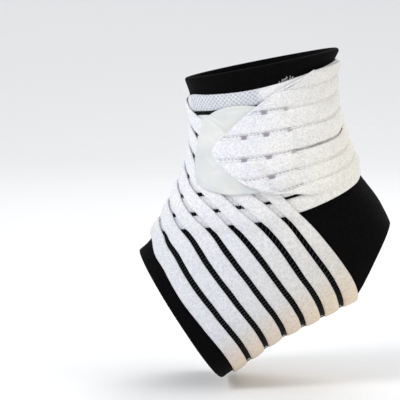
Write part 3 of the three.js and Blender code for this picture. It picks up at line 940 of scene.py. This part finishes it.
# %% The bunched threads behind the ankle
BUNCH_RADIUS = 0.45
BUNCH_HEIGHT = 1.0
BUNCH_STATIONS = 130
FIRST_BUNCH_END = -115.0
LAST_BUNCH_START = 478.0
OPEN_LANE_NUMBER = 3
OPEN_LANE_TURN = 556.0


def bunched_threads():
    """One soft round cord down the middle of each lane wherever the strap is bunched."""
    paths, outward = [], []
    for lane in range(RIB_COUNT - 1):
        last = OPEN_LANE_TURN if lane == OPEN_LANE_NUMBER else SEAM_TURN
        for first, stop in ((START_TURN + 1, FIRST_BUNCH_END), (LAST_BUNCH_START, last)):
            turn = np.linspace(first, stop, BUNCH_STATIONS)
            upper, lower = lane_edges(turn, lane)
            place, out = strap_place(turn, (upper + lower) / 2, BUNCH_HEIGHT)
            paths.append(place)
            outward.append(out)
    return tubes("bunched_threads", np.stack(paths), np.stack(outward), BUNCH_RADIUS, sides=6)


bunched_piece = new_object("bunched_threads", bunched_threads(), ELASTIC)

# %% [markdown]
# Past a seam across it the free end is a leaf, sewn to a backing that fills its lanes with white. The
# backing is a thin slab just below the ribs' tops, and the leaf's rolled edge is a round cord along the
# line at which the ribs stop.

# %% The sewn free end
BACKING_TOP = 0.75
BACKING_FOOT = 0.35
BACKING_MARGIN = 0.012
BACKING_ROWS = 90
BACKING_COLUMNS = 60
BINDING_RADIUS = 0.75
BINDING_STEPS = 260
# share of the strap's width that the binding leaves free at each edge, and its height in the thickness
BINDING_INSET = 0.004
BINDING_HEIGHT = 0.45


def backing():
    """Thin closed sheet over the part of the leaf that lies past the seam."""
    reach = (TIP_TURN - SEAM_TURN) / np.array([UPPER_TAPER, LOWER_TAPER])
    above, below = np.minimum(reach, 1) ** (1 / TAPER_POWER) / 2 - BACKING_MARGIN
    across = np.linspace(0.5 - above, 0.5 + below, BACKING_ROWS)[:, None] * np.ones(BACKING_COLUMNS)
    turn = SEAM_TURN + (end_turn(across) - SEAM_TURN) * np.linspace(0, 1, BACKING_COLUMNS)
    top, _ = strap_place(turn, across, BACKING_TOP)
    foot, _ = strap_place(turn, across, BACKING_FOOT)
    return slab("end_backing", top, foot, np.stack([turn * TAB_MM_PER_DEGREE, across * STRAP_WIDTH], -1))


def binding():
    """Round cord along the line at which the ribs stop."""
    across = np.linspace(BINDING_INSET, 1 - BINDING_INSET, BINDING_STEPS)[None]
    path, out = strap_place(end_turn(across), across, STRAP_THICKNESS * BINDING_HEIGHT)
    return tubes("end_binding", path, out, BINDING_RADIUS, sides=10)


# %% [markdown]
# A dotted line of grey stitches runs along each lane of the leaf, and small square bar tacks hold the lanes
# down.
# Their grey is partly the thread's own and partly painted shade, for the shade under each rib's lower edge
# and in the dark holes where the lanes open. They are made as threads, not drawn on, so that they stand a
# little
# proud: a bar tack is a few parallel threads side by side, and each thread is bowed like one pulled over
# soft cloth.

# %% Stitches and bar tacks
STITCH_PITCH = 1.9
STITCH_LENGTH = 1.1
STITCH_RADIUS = 0.18
STITCH_BOW = np.array([0.0, 0.14, 0.0])
# share of the lane, and degrees left free after the seam and before the edge
STITCH_SIDE = 0.3
STITCH_START = 1.5
STITCH_STOP = 2.5
TACK_SIDE = 2.7
TACK_DROP = 0.8
TACK_RISE = 0.35
TACK_BOW = np.array([0.05, 0.2, 0.25, 0.2, 0.05])
SEAM_THREADS = 7
TACK_THREADS = 8
TACK_TURN = 631.0
TIP_TACK_TURN = 647.0
# turn and lane of each bar tack
TACKS = np.array([[TACK_TURN, 1], [TACK_TURN, 2], [TACK_TURN, 3], [TACK_TURN, 4],
                  [TIP_TACK_TURN, 2], [TIP_TACK_TURN, 3]])
SEAM_TACKS = np.array([[SEAM_TURN, 1], [SEAM_TURN, 2], [SEAM_TURN, 3]])


def stitch_line():
    """Short stitches one after another along the upper side of each lane, each bowed upwards. Their grey
    also stands for the painted shade under the lower edge of the rib above.
    """
    half = STITCH_LENGTH / 2 / TAB_MM_PER_DEGREE
    paths, outward = [], []
    for lane in range(RIB_COUNT - 1):
        middle = np.arange(SEAM_TURN + STITCH_START, TIP_TURN, STITCH_PITCH / TAB_MM_PER_DEGREE)
        start, stop = lane_edges(middle, lane)
        across = start + STITCH_SIDE * (stop - start)
        kept = middle < end_turn(across) - STITCH_STOP
        turn = middle[kept, None] + np.array([-half, 0, half])
        place, out = strap_place(turn, across[kept, None] * np.ones(3), BACKING_TOP)
        paths.append(place + out * STITCH_BOW[:, None])
        outward.append(out)
    return tubes("end_stitches_and_shade", np.concatenate(paths), np.concatenate(outward), STITCH_RADIUS)


def tack_paths(turn, lane, threads):
    """Parallel threads across a lane at a turn, side by side along it, each bowed upwards."""
    steps = (np.arange(threads) - (threads - 1) / 2) * TACK_SIDE / TACK_THREADS / TAB_MM_PER_DEGREE
    start, stop = lane_edges(np.array([turn]), lane)
    reach = np.linspace(-0.5, 0.5, len(TACK_BOW)) * TACK_SIDE + TACK_DROP
    across = (start + stop) / 2 + reach / STRAP_WIDTH
    turns, across = np.broadcast_arrays(turn + steps[:, None], across)
    place, out = strap_place(turns, across, BACKING_TOP + TACK_RISE)
    return place + out * TACK_BOW[:, None], out


def bar_tacks(name, places, threads):
    """One piece from the bar tacks at a list of turns and lanes."""
    sets = [tack_paths(turn, int(lane), threads) for turn, lane in places]
    paths = np.concatenate([place for place, _ in sets])
    return tubes(name, paths, np.concatenate([out for _, out in sets]), TACK_SIDE / TACK_THREADS / 2)


# %% [markdown]
# Elastic frays a little where it is handled. Above the leaf a few cut threads stick out of the first
# lap's upper edge, each with a length, a lean and a curl of its own, and white against the black sleeve.

# %% A few cut threads
FRAYS = 9
FRAY_TURN = -103.0
FRAY_STEP = 1.3
FRAY_EDGE = 0.003
FRAY_RADIUS = 0.09
FRAY_SHORTEST = 1.4
FRAY_LONGER = 1.6
FRAY_LEAN = 0.7
FRAY_CURL = 0.35
FRAY_LIFT = 0.35


def frays():
    """Cut threads that leave the first lap's upper edge. Sines of a thread's number set its length and its
    lean to one side, and the curl is a wave along it."""
    number = np.arange(FRAYS)[:, None]
    along = np.linspace(0, 1, 9)[None, :]
    turn = (FRAY_TURN - FRAY_STEP * number) * np.ones_like(along)
    across = np.full_like(turn, FRAY_EDGE)
    root, out = strap_place(turn, across, STRAP_THICKNESS / 2)
    up = -along_skin(-turn, row_across(turn, across))
    round_way = np.cross(out, up)
    length = FRAY_SHORTEST + FRAY_LONGER * np.sin(2.3 * number) ** 2
    lean = np.sin(5.1 * number + 0.4) * along + FRAY_CURL * np.sin(3.7 * number + 4.0 * along)
    growth = up * along[..., None]
    growth += round_way * (FRAY_LEAN * lean * along)[..., None]
    growth += out * (FRAY_LIFT * along ** 2)[..., None]
    return tubes("end_frays", root + length[..., None] * growth, out, FRAY_RADIUS)


# the grey is partly the thread's own and partly painted shade: under each rib's lower edge and in the dark
# holes where the lanes open
GREY_THREAD_AND_SHADE = thread_material("grey_stitching_and_shade", (0.42, 0.38, 0.44))[0]
PALE_THREAD = thread_material("pale_stitching", (0.52, 0.52, 0.48))[0]
end_pieces = [
    new_object("end_backing", backing(), ELASTIC),
    new_object("end_binding", binding(), ELASTIC),
    new_object("end_stitches_and_shade", stitch_line(), GREY_THREAD_AND_SHADE),
    new_object("end_tacks_and_shade", bar_tacks("end_tacks_and_shade", TACKS, TACK_THREADS), GREY_THREAD_AND_SHADE),
    new_object("seam_tacks", bar_tacks("seam_tacks", SEAM_TACKS, SEAM_THREADS), PALE_THREAD),
    new_object("end_frays", frays(), ELASTIC),
]
print("the free end has", sum(len(piece.data.polygons) for piece in end_pieces), "faces")

# %% [markdown]
# The tab is a stiff patch of hook tape, smooth side out, with blunt corners. Its grid is a square
# drawn in from its corners, and its edge is rounded by letting the height fall off at the rim.

# %% The hook tab
TAB_STEPS = 72
TAB_EDGE = 0.9
# share of the thickness that is left at the rim
TAB_RIM = 0.3
TAPE_WEAVE = 0.0009
TAPE_BLUE = (0.585, 0.61, 0.62)
TAPE_GREY = (0.70, 0.70, 0.68)


def hook_tape():
    """Smooth pale woven tape whose colour clouds slowly between two greys."""
    material, tree, shader = material_with("hook_tape", TAPE_BLUE, 0.42)
    shader.inputs["Sheen Weight"].default_value = 0.1
    place = node(tree, "ShaderNodeTexCoord").outputs["Object"]
    cloud = node(tree, "ShaderNodeTexNoise", Vector=place, Scale=45.0, Detail=2.0).outputs[0]
    colour = faded(tree, ranged(tree, cloud, 0.35, 0.65), TAPE_BLUE, TAPE_GREY)
    fill(tree, shader.inputs["Base Color"], colour)
    uv = node(tree, "ShaderNodeUVMap", {"uv_map": CLOTH_MAP})
    split = node(tree, "ShaderNodeSeparateXYZ", Vector=uv.outputs[0])
    weave = knit_height(tree, split.outputs[0], split.outputs[1], TAPE_WEAVE, TAPE_WEAVE, 0.0)
    fine = node(tree, "ShaderNodeBump", Strength=0.25, Distance=0.0001, Height=weave)
    fill(tree, shader.inputs["Normal"], fine.outputs[0])
    return material


def tab_place(p, q):
    """Angle and row of a place on the tab, and its lengths from the middle. p and q run from -1 to 1 along
    and across it, and each is drawn in by a root that falls with the square of the other."""
    long = TAB_LENGTH / 2 * p * np.sqrt(1 - TAB_BLUNT * q * q)
    wide = TAB_WIDTH / 2 * q * np.sqrt(1 - TAB_BLUNT * p * p)
    angle = TAB_ANGLE + long / TAB_MM_PER_DEGREE
    row = row_at(angle, length_at(angle, np.full_like(angle, TAB_ROW)) + wide)
    return angle, row, long, wide


def hook_tab():
    """Slab on the laps below it, whose thickness falls off at the rim like a quarter circle."""
    side = np.linspace(-1, 1, TAB_STEPS + 1)
    p, q = np.meshgrid(side, side, indexing="ij")
    angle, row, long, wide = tab_place(p, q)
    to_edge = (1 - np.maximum(np.abs(p), np.abs(q))) * TAB_WIDTH / 2
    rounding = np.sqrt(1 - (1 - np.clip(to_edge / TAB_EDGE, 0, 1)) ** 2)
    under = layer_floor(720 - angle, row)
    top = raised(angle, row, under + TAB_THICKNESS * (TAB_RIM + (1 - TAB_RIM) * rounding))
    bottom = raised(angle, row, under)
    mesh = slab("hook_tab_tape", top, bottom, np.stack([long, wide], -1))
    return new_object("hook_tab_tape", mesh, hook_tape())


tab_piece = hook_tab()
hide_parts("hook_tab")

# %% [markdown]
# A pale floor just under the brace sweeps up behind it, so no horizon shows, and the light comes from
# large soft lamps. The key lamp stands on the toe side and a warmer, weaker one on the heel side, so both
# sides of the ankle are brighter than its middle. A third lamp behind draws the upper edges.

# %% Floor, lamps and sky
FLOOR_DROP = 0.004
FLOOR_HALF = 4.0
SWEEP_START = 1.3
SWEEP_RADIUS = 1.2
SWEEP_TOP = 3.0
BEND_STEPS = 25
SKY_COLOUR = (0.95, 0.97, 1.0, 1)
SKY_STRENGTH = 0.7

bend = np.linspace(0, math.pi / 2, BEND_STEPS)
curve_y = SWEEP_START + SWEEP_RADIUS * np.sin(bend)
curve_z = SWEEP_RADIUS * (1 - np.cos(bend))
profile_y = np.concatenate([[-FLOOR_HALF], curve_y, [SWEEP_START + SWEEP_RADIUS]])
profile_z = np.concatenate([[0], curve_z, [SWEEP_TOP]]) + cad_box[0].z - FLOOR_DROP
sides_x = np.array([-FLOOR_HALF, FLOOR_HALF])[:, None]
floor_points = np.stack(np.broadcast_arrays(sides_x, profile_y, profile_z), -1).reshape(-1, 3)
floor_mesh = bpy.data.meshes.new("floor")
floor_mesh.from_pydata(floor_points.tolist(), [], grid_faces(2, len(profile_y)))
floor_mesh.polygons.foreach_set("use_smooth", np.ones(len(floor_mesh.polygons), dtype=bool))
floor_mesh.materials.append(material_with("pale_floor", (0.92, 0.92, 0.92), 0.9)[0])
floor = bpy.data.objects.new("floor", floor_mesh)
bpy.context.scene.collection.objects.link(floor)


def lamp(name, place, size, watts, colour):
    """Square area lamp that looks at the middle of the brace."""
    data = bpy.data.lights.new(name, "AREA")
    data.size = size
    data.energy = watts
    data.color = colour
    made = bpy.data.objects.new(name, data)
    made.location = place
    made.rotation_euler = (-Vector(place)).to_track_quat("-Z", "Y").to_euler()
    bpy.context.scene.collection.objects.link(made)


lamp("key", place=(-1.1, -0.75, 0.95), size=0.6, watts=12.0, colour=(1.0, 1.0, 1.0))
lamp("fill", place=(1.2, -0.7, 0.35), size=1.0, watts=5.0, colour=(1.0, 0.96, 0.90))
lamp("rim", place=(0.3, 0.9, 1.1), size=0.8, watts=6.0, colour=(1.0, 1.0, 1.0))
world = bpy.data.worlds.new("sky")
world.use_nodes = True
world.node_tree.nodes["Background"].inputs["Color"].default_value = SKY_COLOUR
world.node_tree.nodes["Background"].inputs["Strength"].default_value = SKY_STRENGTH
bpy.context.scene.world = world
bpy.context.scene.view_settings.view_transform = "Standard"

# %% [markdown]
# The sleeve and the strap are cloth. Here the strap's length along its middle line, the share of its width
# in ribs, and the sleeve's way round the ankle are worked out. The sleeve is a band as long as the way round
# the ankle and as wide as its longest way down. It is shorter in front, so its area is its mean way down
# times the way round. The strap is as long as its middle line, and its area leaves out the lanes.

# %% What the cloths were cut from
WAIST_ROW = 3.0
LINE_STATIONS = 1500


def path_length(points):
    """Length of a line through points in millimetres, in metres."""
    return float(np.linalg.norm(np.diff(points, axis=0), axis=1).sum()) * MM


line_turns = np.linspace(START_TURN, TIP_TURN, LINE_STATIONS)
strap_length = path_length(skin(-line_turns, strap_at(line_turns)[0]))
rib_share = float((RIB_COUNT / (RIB_COUNT + lane_shares(line_turns).sum(-1))).mean())
sleeve_round = path_length(skin(MAP_ANGLES, WAIST_ROW))
